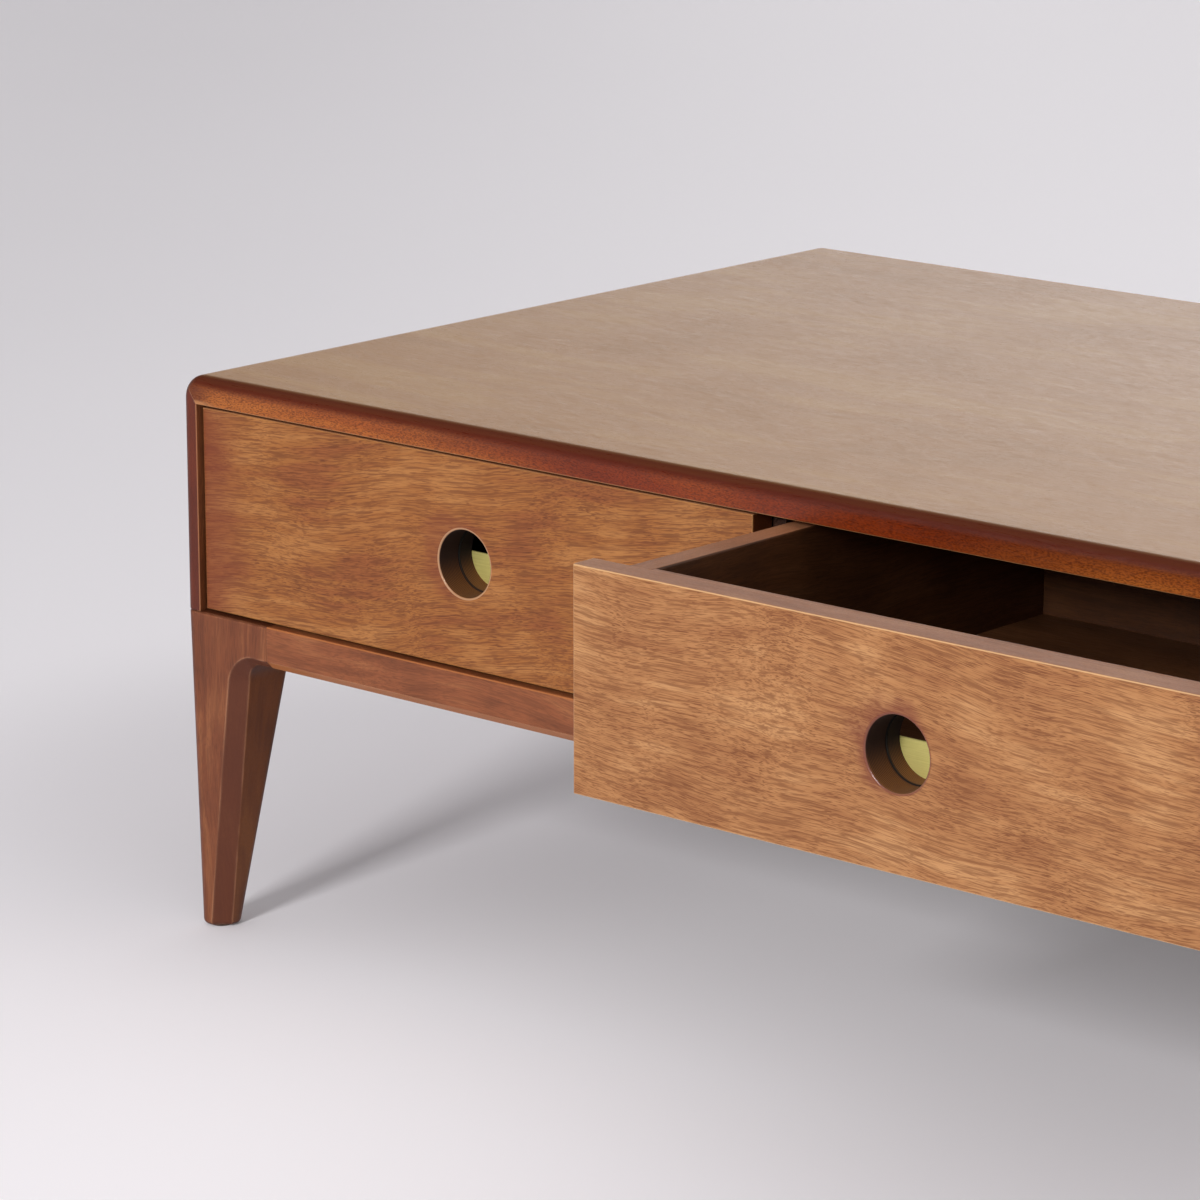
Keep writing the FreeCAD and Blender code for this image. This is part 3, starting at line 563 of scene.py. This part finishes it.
# The left front's pale lip tone is partly a painted highlight.
LEFT_FRONT = tone_set("8a4e24", "975d2a", "a76e39", "5b2a0d", "d2a06a", "dcaa70",
                      halo="6e2c1a", bore="2a140a", turned="84501f", lip="b48a68", drawn_in=0.4)
RIGHT_FRONT = tone_set("966239", "a67245", "b68455", "663513", "dcb080", "e0b07c",
                       halo="642618", bore="2a140a", turned="84501f", lip="6e3c30", drawn_in=0.65)
TOP = tone_set("a37645", "a87a49", "ae824d", "7f522b", "4c180a", "c08a5c")
BAND = tone_set("682206", "7a2c08", "8c3c0c", "380f04", "4c180a", "d0965c", spots=0.6, golden="ae6428")
SIDE = tone_set("6e3c20", "7c482a", "8a5432", "452210", "441a0c", "b07850")
EDGE = tone_set("561f0c", "61250f", "6c2d13", "3a1206", "441a0c", "b88860", spots=0.3)
CASE = tone_set("40261a", "4c2e1e", "583824", "26140c", "2c160c", "6a442c")
BASE = tone_set("65341b", "753e21", "874f2d", "411c0e", "582c1a", "c8906a")
RAIL = tone_set("753f22", "884c2b", "985d37", "482410", "b4703f", "d09a70")
# Inner faces of the legs: darker flecks and arrises, painted as shade.
INNER_SHADE = tone_set("663517", "753f1b", "814920", "43240b", "582c1a", "8a5c40", spots=0.2)
BOX = tone_set("4c2c18", "58341c", "643e24", "301a0c", "402412", "6e4a30",
               halo="50301c", bore="20120a", turned="8e5a2c", lip="50301c", drawn_in=0.0)
RIM = tone_set("966446", "a26e4e", "ac7a58", "6a4028", "7a4a30", "c8a080", spots=0.3)
print("left front", [round(part, 3) for part in LEFT_FRONT["middle"][:3]],
      "and right front", [round(part, 3) for part in RIGHT_FRONT["middle"][:3]])

# %% [markdown]
# ## Boards of the drawers and the case
#
# A recipe says how one board differs from a plain one: where its grain runs, its tones, which face has
# tones of its own, and how much its edges are lacquered and rubbed. Positions such as the middle of a
# finger hole are read from the solids, so they stay right if the table changes. Typed in, they would go
# stale. Only the hole's radius is typed in, because a piece's box does not show it.

# %% Recipes for the drawers and the sides
HOLE_RADIUS = 22.96 * MM
RED_END_LENGTH = 60 * MM
FRONT_TONES = {"left": LEFT_FRONT, "right": RIGHT_FRONT}
FRONT_TILT = {"left": 0.13, "right": -0.04}
# Share of the pale arris tone on each front, partly a painted highlight.
FRONT_SHADE = {"left": 0.3, "right": 0.75}


def hole_of(side):
    """A finger hole: its middle, its level, its radius and the depth where the front meets the box."""
    low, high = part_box(f"{side}_drawer_front")
    return (low.x + high.x) / 2, (low.z + high.z) / 2, HOLE_RADIUS, high.y


def front_recipe(side):
    left_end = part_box(f"{side}_drawer_front")[0].x
    red_end = (left_end, left_end + RED_END_LENGTH) if side == "left" else None
    return dict(
        grain="x", tones=FRONT_TONES[side], tilt=FRONT_TILT[side], other=(AXIS_Z, 1, RIM),
        hole=hole_of(side), red_end=red_end, pore=0.85, shade=FRONT_SHADE[side], end=0.9, pale=0.9)


def wall_recipe(side, wall):
    grain = "x" if wall in ("box_front", "back") else "y"
    hole = hole_of(side) if wall == "box_front" else None
    return dict(grain=grain, tones=BOX, other=(AXIS_Z, 1, RIM), hole=hole, shade=0.2, end=0.2, pale=0.7)


def side_panel_recipe(side):
    inner_face = min(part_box(f"{side}_side_panel"), key=lambda corner: abs(corner.x)).x
    # The pale line by the inner arris is a painted highlight.
    return dict(grain="z", tones=SIDE, other=(AXIS_Y, -1, EDGE), highlight_line=(AXIS_X, inner_face))


print("left finger hole at", [round(part / MM, 1) for part in hole_of("left")[:2]], "mm")

# %% [markdown]
# ## Boards of the base and the top
#
# The legs and rails are planed bars, glued where the leg turns into the rail. A glued joint is sanded
# flush, so it has no pale arris. The top is the calmest board, with broad clouds, hardly any pores and
# the smoothest finish. Its dark front arris and the painted highlight line below it come from where they
# lie on the board.

# %% Recipes for the base and the top


def rail_recipe(grain, joints):
    # The pale bevel tone of a rail is partly a painted highlight.
    return dict(grain=grain, tones=RAIL, joints=joints, pore=0.5, shade=0.7, pale=0.9)


def leg_recipe(inward, joints):
    # The darker bevel tone of a leg is painted shade.
    return dict(
        # The inner faces take their own tones as painted shade.
        grain="z", tones=BASE, other=(AXIS_X, inward, INNER_SHADE), joints=joints, blunting=2.4 * MM,
        pore=0.5, shade=0.85, pale=0.55)


def top_recipe():
    low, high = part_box("table_top")
    # The pale line along the lower arris is a painted highlight.
    return dict(
        grain="x", tones=TOP, other=(AXIS_Y, 0, BAND), dark_arris=(low.y, high.z, high.x),
        highlight_line=(AXIS_Z, low.z), pore=0.08, shade=0.95, pale=0.5, gloss=0.3, specular=0.3, relief=0.08,
        breadth=2.6)


def ends_along(node, axis):
    """The two ends of a piece along an axis, as places of joints."""
    return [(axis, corner[axis]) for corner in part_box(node)]


left_joint = ends_along("front_rail", AXIS_X)[0]
print("the front rail meets the left leg at x =", round(left_joint[1] / MM, 1), "mm")

# %% [markdown]
# ## Finishing the boards
#
# All boards are listed first and finished in one loop. A board's place in the list is the seed of its
# figure, so each board is a different cut of the same timber, and the same board looks the same each time
# this runs.

# %% List the boards
wooden = {}
for side, inward in (("left", 1), ("right", -1)):
    wooden[f"{side}_drawer_front"] = front_recipe(side)
    wooden[f"{side}_side_panel"] = side_panel_recipe(side)
    for wall in ("box_front", "outer_side", "inner_side", "back"):
        wooden[f"{side}_drawer_{wall}"] = wall_recipe(side, wall)
    wooden[f"{side}_drawer_bottom"] = dict(grain="x", tones=BOX, pale=0.0)
    joints = ends_along(f"{side}_rail", AXIS_Y) + ends_along("front_rail", AXIS_X)
    wooden[f"{side}_rail"] = rail_recipe("y", joints)
    for end in ("front", "rear"):
        wooden[f"leg_{end}_{side}"] = leg_recipe(inward, joints)
wooden["table_top"] = top_recipe()
for node, grain in (("bottom_panel", "x"), ("back_panel", "x"), ("centre_divider", "y")):
    wooden[node] = dict(grain=grain, tones=CASE)
for node in ("front_rail", "rear_rail"):
    wooden[node] = rail_recipe("x", ends_along(node, AXIS_X))
wooden["rail_dowels"] = dict(grain="x", tones=BASE)
print("boards listed:", len(wooden))

# %% Finish the boards


def finish_node(node, material):
    """Give a CAD piece its material in place of the plain one it came with."""
    slots = nodes[node].data.materials
    slots.clear()
    slots.append(material)


for seed, (node, recipe) in enumerate(wooden.items(), start=1):
    finish_node(node, wood(f"{node}_wood", seed=float(seed), **recipe))
print("boards finished:", len(wooden))

# %% [markdown]
# ## Brass, steel and nylon
#
# The plate behind each finger hole is satin brass, brushed along its length. Runners and screws are zinc
# plated steel with a faint mottle, and the glides under the feet are brown nylon with a fine moulded
# grain. The relief of all three is a tenth of a millimetre deep at most, so it is a bump with a matching
# change of roughness, not geometry.

# %% Recipe for metal
BRUSHED, PLATED, BRUSH_DETAIL = (40.0, 1800.0), (25.0, 25.0), 2.0
MOTTLE_GRAIN, MOTTLE_DETAIL = 60.0, 3.0
METAL_TONE_EDGE, METAL_GLOSS_EDGE = (0.35, 0.65), (0.3, 0.7)
DULLER, SHINIER = 0.1, 0.06
BRUSH_RELIEF, BRUSH_SCALE = 0.15, 0.05 * MM


def raise_surface(tree, shader, height, strength, scale):
    bump = add(tree, "Bump", {"Height": height, "Strength": strength, "Distance": scale})
    fill(tree, shader.inputs["Normal"], bump.outputs["Normal"])


def metal(name, colour, darker, rough, brushing, metallic=1.0):
    """Metal with fine lines and a mottle, shinier where it is lighter."""
    material, tree, shader = new_material(name)
    place = add(tree, "TexCoord").outputs["Object"]
    lines = figure(tree, place, *brushing, BRUSH_DETAIL)
    mottle = soft_noise(tree, place, MOTTLE_GRAIN, MOTTLE_DETAIL)
    tone = half_and_half(tree, lines, mottle)
    fill(tree, shader.inputs["Base Color"], blend(tree, step(tree, tone, *METAL_TONE_EDGE), darker, colour))
    gloss = step(tree, tone, *METAL_GLOSS_EDGE, rough + DULLER, rough - SHINIER)
    fill(tree, shader.inputs["Roughness"], gloss)
    shader.inputs["Metallic"].default_value = metallic
    raise_surface(tree, shader, lines, BRUSH_RELIEF, BRUSH_SCALE)
    return material


print("brushed lines", round(1 / (BRUSHED[1] * MM), 2), "mm apart")

# %% Recipe for nylon
PEBBLE_GRAIN, PEBBLE_DETAIL = 900.0, 2.0
PEBBLE_EDGE, PEBBLE_ROUGHNESS = (0.3, 0.7), (0.5, 0.7)
PEBBLE_RELIEF, PEBBLE_SCALE = 0.2, 0.1 * MM


def nylon(name, colour, lighter):
    """Moulded plastic with a fine pebble grain."""
    material, tree, shader = new_material(name)
    place = add(tree, "TexCoord").outputs["Object"]
    pebble = soft_noise(tree, place, PEBBLE_GRAIN, PEBBLE_DETAIL)
    fill(tree, shader.inputs["Base Color"], blend(tree, pebble, colour, lighter))
    fill(tree, shader.inputs["Roughness"], step(tree, pebble, *PEBBLE_EDGE, *PEBBLE_ROUGHNESS))
    raise_surface(tree, shader, pebble, PEBBLE_RELIEF, PEBBLE_SCALE)
    return material


print("pebbles", round(1 / (PEBBLE_GRAIN * MM), 1), "mm apart")

# %% Finish the metal and nylon pieces
brass = metal("satin_brass", tint("dcd183"), tint("d0c576"), rough=0.5, brushing=BRUSHED, metallic=0.7)
steel = metal("plated_steel", tint("b9bcc0"), tint("9a9da2"), rough=0.34, brushing=PLATED)
glide_nylon = nylon("glide_nylon", tint("3a2a20"), tint("4c382b"))
finished = {"brass": 0, "steel": 0, "nylon": 0}
for node in nodes:
    if node.endswith("finger_plate"):
        finish_node(node, brass)
        finished["brass"] += 1
    elif "runner" in node or "screws" in node:
        finish_node(node, steel)
        finished["steel"] += 1
    elif "glide" in node:
        finish_node(node, glide_nylon)
        finished["nylon"] += 1
print("pieces finished:", finished)

# %% [markdown]
# ## A screw with a cross recess
#
# Countersunk screws hold the drawer fronts, the finger plates and the base. In the solid model each is a
# plain cone on a stem. The real head has a cross for the driver, and its rim is a little blunt. A bump
# would look flat from aside, so one screw of each size is modelled: a cone, its small end drawn out into
# the stem, the rim bevelled and two slots cut by booleans.

# %% Select faces by a test


def select_faces(piece, wanted):
    """In edit mode, select just the faces that pass a test."""
    bpy.ops.object.mode_set(mode="EDIT")
    bpy.ops.mesh.select_mode(type="FACE")
    bpy.ops.mesh.select_all(action="DESELECT")
    bpy.ops.object.mode_set(mode="OBJECT")
    for face in piece.data.polygons:
        face.select = wanted(face)
    bpy.ops.object.mode_set(mode="EDIT")


print("face selection ready")

# %% Cut a slot


def cut_slot(piece, size, turn):
    """Cut a box-shaped slot, turned about Z, out of the top of a piece."""
    bpy.ops.mesh.primitive_cube_add(size=1.0, rotation=(0, 0, turn))
    slot = bpy.context.object
    slot.scale = size
    bpy.context.view_layer.objects.active = piece
    cut = piece.modifiers.new("slot", "BOOLEAN")
    cut.operation = "DIFFERENCE"
    cut.object = slot
    bpy.ops.object.modifier_apply(modifier=cut.name)
    bpy.data.objects.remove(slot)


print("slot cutter ready")

# %% Model a screw
# Lengths are shares of the head's radius, and the slot's depth is a share of the head's depth.
SLOT_LENGTH, SLOT_WIDTH, SLOT_DEPTH = 1.2, 0.26, 0.6
RIM_BEVEL, RIM_SEGMENTS = 0.07, 2
HEAD_CORNERS, FLAT_END, SMOOTH_BELOW = 28, 0.9, math.radians(35)


def model_screw(head, head_depth, stem, length):
    """A countersunk screw down -Z, the flat of its head at the origin."""
    bpy.ops.object.select_all(action="DESELECT")
    bpy.ops.mesh.primitive_cone_add(
        vertices=HEAD_CORNERS, radius1=stem, radius2=head, depth=head_depth,
        location=(0, 0, -head_depth / 2))
    piece = bpy.context.object
    bpy.ops.object.transform_apply(location=True)
    select_faces(piece, lambda face: face.normal.z < -FLAT_END)
    bpy.ops.mesh.extrude_region_move(TRANSFORM_OT_translate={"value": (0, 0, head_depth - length)})
    select_faces(piece, lambda face: face.normal.z > FLAT_END)
    bpy.ops.mesh.bevel(offset=RIM_BEVEL * head, segments=RIM_SEGMENTS, affect="EDGES")
    bpy.ops.object.mode_set(mode="OBJECT")
    slot_size = (SLOT_LENGTH * head, SLOT_WIDTH * head, 2 * SLOT_DEPTH * head_depth)
    for turn in (0.0, math.pi / 2):
        cut_slot(piece, slot_size, turn)
    piece.select_set(True)
    bpy.ops.object.shade_smooth_by_angle(angle=SMOOTH_BELOW)
    return piece


print("a slot is", SLOT_DEPTH, "of the head deep and", SLOT_LENGTH, "head radii long")

# %% [markdown]
# ## Screws in their places
#
# The places are measured on the plain screws: the outermost vertices of a screw node lie on the rims of
# its heads. Copies with meshes of their own go there, each turned by its own angle, as screws come to
# rest. The copies of one node are joined to one piece, which rides on the node's body and stands in for
# the node.

# %% Measure the screw heads
ON_FACE = 0.01 * MM
HEAD_SPACING = 10 * MM


def head_places(node, outward):
    """The radius of a node's screw heads and the middle of each, from the outermost vertices."""
    points = [vertex.co for vertex in nodes[node].data.vertices]
    face = max(point.dot(outward) for point in points)
    heads = []
    for point in (point for point in points if point.dot(outward) > face - ON_FACE):
        group = next((group for group in heads if (group[0] - point).length < HEAD_SPACING), None)
        if group is None:
            heads.append([point])
        else:
            group.append(point)
    middles = [sum(group, Vector()) / len(group) for group in heads]
    return max((heads[0][0] - point).length for point in heads[0]) / 2, middles


BACKWARD, DOWNWARD = Vector((0, 1, 0)), Vector((0, 0, -1))
print("heads under the base:", len(head_places("base_screws", DOWNWARD)[1]))

# %% Copy and join screws


def copies_of(first, middles):
    """Copies of a piece at the places given, the piece itself at the first one."""
    for middle in middles[1:]:
        bpy.ops.object.select_all(action="DESELECT")
        first.select_set(True)
        bpy.context.view_layer.objects.active = first
        bpy.ops.object.duplicate()
        bpy.context.object.location = middle
    first.location = middles[0]
    return [piece for piece in bpy.data.objects if piece.name.startswith(first.name)]


def put_screws(node, body, sizes, outward, tip_over):
    """Model a screw node anew and let it ride on its body in place of the plain one."""
    radius, middles = head_places(node, outward)
    first = model_screw(radius, *sizes)
    first.name = f"{node}_recessed"
    pieces = copies_of(first, middles)
    bpy.ops.object.select_all(action="DESELECT")
    for piece in pieces:
        piece.rotation_mode = "ZYX"
        piece.rotation_euler = (tip_over, 0, random.uniform(0, math.pi / 2))
        piece.select_set(True)
    bpy.context.view_layer.objects.active = first
    bpy.ops.object.transform_apply(location=True, rotation=True, scale=True)
    bpy.ops.object.join()
    first.data.materials.append(steel)
    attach(first, body)
    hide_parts(node)
    print(first.name, len(middles), "screws, heads", round(2 * radius / MM, 2), "mm")


print("tools to copy and join screws ready")

# %% Put the screws in place
# Depth of the head, radius of the stem and length of the whole screw.
PLATE_SCREW = (1.5 * MM, 1.4 * MM, 8 * MM)
FRONT_SCREW = (3 * MM, 2 * MM, 26 * MM)
BASE_SCREW = (3 * MM, 2 * MM, 40 * MM)
FACE_BACK, FACE_DOWN = -math.pi / 2, math.pi
random.seed(7)
put_screws("base_screws", "table", BASE_SCREW, DOWNWARD, FACE_DOWN)
for side in ("left", "right"):
    for kind, sizes in (("plate", PLATE_SCREW), ("front", FRONT_SCREW)):
        put_screws(f"{side}_drawer_{kind}_screws", f"{side}_drawer", sizes, BACKWARD, FACE_BACK)

# %% [markdown]
# ## Floor
#
# The table stands on a pale seamless floor. It is a plane far larger than the view, so none of its edges
# is seen. In the studio the floor is lit unevenly: it is brighter behind on the right and in front of the
# table, and darker to the left of it. More lamps would also change the table, so a faint glow, seen by
# the camera alone, paints these differences on the floor.

# %% Lay the floor
FLOOR_SIZE = 60.0
FLOOR_TONES = (0.79, 0.765, 0.795, 1.0), (0.82, 0.795, 0.825, 1.0)
FLOOR_PATCHES, FLOOR_ROUGHNESS, FLOOR_SPECULAR = 0.8, 0.8, 0.1
bpy.ops.mesh.primitive_plane_add(size=FLOOR_SIZE, location=(0, 0, 0))
floor = bpy.context.object
floor.name = "studio_floor"
floor_paint, tree, shader = new_material("studio_floor_paint")
place = add(tree, "TexCoord").outputs["Object"]
patch = add(tree, "TexNoise", {"Vector": place, "Scale": FLOOR_PATCHES}).outputs["Fac"]
fill(tree, shader.inputs["Base Color"], blend(tree, patch, *FLOOR_TONES))
shader.inputs["Roughness"].default_value = FLOOR_ROUGHNESS
shader.inputs["Specular IOR Level"].default_value = FLOOR_SPECULAR
floor.data.materials.append(floor_paint)
print("floor", FLOOR_SIZE, "m square")

# %% Glow of the floor
GLOW_COLOUR = (1.0, 0.98, 1.0, 1.0)
GLOW, BACK_GLOW = 0.12, 0.14
RIGHTWARD, BACKWARD_LEFT = (0.75, 0.66, 0.0), (-0.66, 0.75, 0.0)
BACK_GLOW_RIGHTWARD, BACK_GLOW_BACKWARD = (-1.2, 0.5), (0.0, 2.0)
DARK_SPOT = dict(centre=(-0.68, 0.0), stretch=0.8, start=0.15, end=0.5, inside=0.1, outside=1.0)
LIGHT_SPOT = dict(centre=(-0.15, -0.5), stretch=1.0, start=0.0, end=0.5, inside=0.07, outside=0.0)


def floor_spot(centre, stretch, start, end, inside, outside):
    """A value that changes from the middle of a round or oval spot on the floor to its outside."""
    offset = (-centre[0], -centre[1] * stretch, 0.0)
    moved = add(tree, "Mapping", {"Vector": place, "Location": offset, "Scale": (1.0, stretch, 0.0)})
    reach = add(tree, "VectorMath", {0: moved.outputs[0]}, operation="LENGTH").outputs["Value"]
    return step(tree, reach, start, end, inside, outside)


to_right = step(tree, dot(tree, place, RIGHTWARD), *BACK_GLOW_RIGHTWARD)
to_back = step(tree, dot(tree, place, BACKWARD_LEFT), *BACK_GLOW_BACKWARD)
glow = plus(tree, times(tree, times(tree, to_right, to_back), BACK_GLOW), GLOW)
glow = times(tree, glow, floor_spot(**DARK_SPOT))
glow = plus(tree, glow, floor_spot(**LIGHT_SPOT))
by_camera = add(tree, "LightPath").outputs["Is Camera Ray"]
shader.inputs["Emission Color"].default_value = GLOW_COLOUR
fill(tree, shader.inputs["Emission Strength"], times(tree, by_camera, glow))
print("the floor glows by", GLOW, "and by", GLOW + BACK_GLOW, "behind on the right")

# %% [markdown]
# ## Room
#
# A studio fills the shadows with light from its pale walls and ceiling, and satin lacquer mirrors them.
# The world stands in for the walls. One even grey would leave the front and the back equally lit and the
# top without a sheen, so the world gives each kind of ray its own picture: a fill that is stronger from
# the front and above, a backdrop for the camera, and for mirrored rays a bright low wall behind on the
# right and a window above the lamp.

# %% Fill light
AIR_COLOUR = (1.0, 0.985, 0.995, 1.0)
TOWARD_FRONT, FROM_BACK_TO_FRONT = (-0.3, -0.95, 0.0), (-1.0, 1.0)
SIDE_LIGHT, CEILING_LIGHT = (0.08, 0.5), 0.6
FROM_WALL_TO_CEILING = (0.0, 0.8)
BACKDROP = 0.72
world = bpy.data.worlds.new("studio")
bpy.context.scene.world = world
world.use_nodes = True
tree = world.node_tree
rays = add(tree, "LightPath").outputs
sky = add(tree, "TexCoord").outputs["Generated"]
upward = add(tree, "SeparateXYZ", {"Vector": sky}).outputs[AXIS_Z]
from_sides = step(tree, dot(tree, sky, TOWARD_FRONT), *FROM_BACK_TO_FRONT, *SIDE_LIGHT)
fill_light = step(tree, upward, *FROM_WALL_TO_CEILING, from_sides, CEILING_LIGHT)
plain_air = step(tree, rays["Is Camera Ray"], 0.0, 1.0, fill_light, BACKDROP)
print("fill from", SIDE_LIGHT[0], "behind to", SIDE_LIGHT[1], "in front and", CEILING_LIGHT, "above")

# %% Mirrored wall and window
WALL_TOP, WALL_LIGHT = (0.12, 0.32), (1.4, 0.2)
BEHIND_RIGHT, WALL_TURN, WALL_SHARE = (0.6, 0.8, 0.0), (-0.05, 0.5), (0.3, 2.4)
WINDOW_AT, WINDOW_EDGE, WINDOW_LIGHT = (0.03, -0.91, 0.42), (0.94, 0.98), 6.0
low_wall = step(tree, upward, *WALL_TOP, *WALL_LIGHT)
wall = times(tree, low_wall, step(tree, dot(tree, sky, BEHIND_RIGHT), *WALL_TURN, *WALL_SHARE))
window = step(tree, dot(tree, sky, WINDOW_AT), *WINDOW_EDGE, 0.0, WINDOW_LIGHT)
mirrored = plus(tree, wall, window)
background = tree.nodes["Background"]
background.inputs["Color"].default_value = AIR_COLOUR
strength = step(tree, rays["Is Glossy Ray"], 0.0, 1.0, plain_air, mirrored)
fill(tree, background.inputs["Strength"], strength)
print("mirrored wall up to", round(WALL_LIGHT[0] * WALL_SHARE[1], 2), "and window", WINDOW_LIGHT)

# %% [markdown]
# ## Lamp
#
# One wide soft lamp stands in front and a little to the right, low enough to throw the leg's shadow back
# under the table. A square of light gives a shadow that is crisp at the foot and soft further off, as a
# softbox does. A point lamp would leave hard edges, and a sun lamp would light near and far alike.

# %% Place the lamp
LAMP_SIDE, LAMP_WATTS = 0.8, 130.0
LAMP_PLACE, LAMP_AIM = Vector((0.36, -4.2, 2.0)), Vector((0, -0.4, 0.25))
key_data = bpy.data.lights.new("key", "AREA")
key_data.shape = "RECTANGLE"
key_data.size = LAMP_SIDE
key_data.size_y = LAMP_SIDE
key_data.energy = LAMP_WATTS
key = bpy.data.objects.new("key", key_data)
bpy.context.scene.collection.objects.link(key)
key.visible_camera = False
key.location = LAMP_PLACE
key.rotation_mode = "QUATERNION"
key.rotation_quaternion = (LAMP_PLACE - LAMP_AIM).to_track_quat("Z", "Y")
print("lamp", round((LAMP_PLACE - LAMP_AIM).length, 2), "m from the drawers")

# %% [markdown]
# ## Camera
#
# The camera looks down at the front from the right through a long lens, which keeps the boards' edges
# nearly parallel. Its place and angles were fitted to edges of the table and are set as numbers, because
# a camera that tracks a target would turn with any change of the target.

# %% Place the camera
LENS, SENSOR, FAR_CLIP = 142.3, 36.0, 100.0
CAMERA_PLACE = (1.8406, -2.5713, 1.0494)
LEVEL, LOOK_DOWN, LOOK_LEFT = 90, 14.124, 41.47
bpy.context.scene.view_settings.view_transform = "Standard"
camera_data = bpy.data.cameras.new("camera")
camera_data.sensor_width = SENSOR
camera_data.lens = LENS
camera_data.clip_end = FAR_CLIP
camera = bpy.data.objects.new("camera", camera_data)
bpy.context.scene.collection.objects.link(camera)
camera.location = CAMERA_PLACE
camera.rotation_euler = (math.radians(LEVEL - LOOK_DOWN), 0, math.radians(LOOK_LEFT))
bpy.context.scene.camera = camera
print("camera", round(Vector(CAMERA_PLACE).length, 2), "m away with a lens of", LENS, "mm")
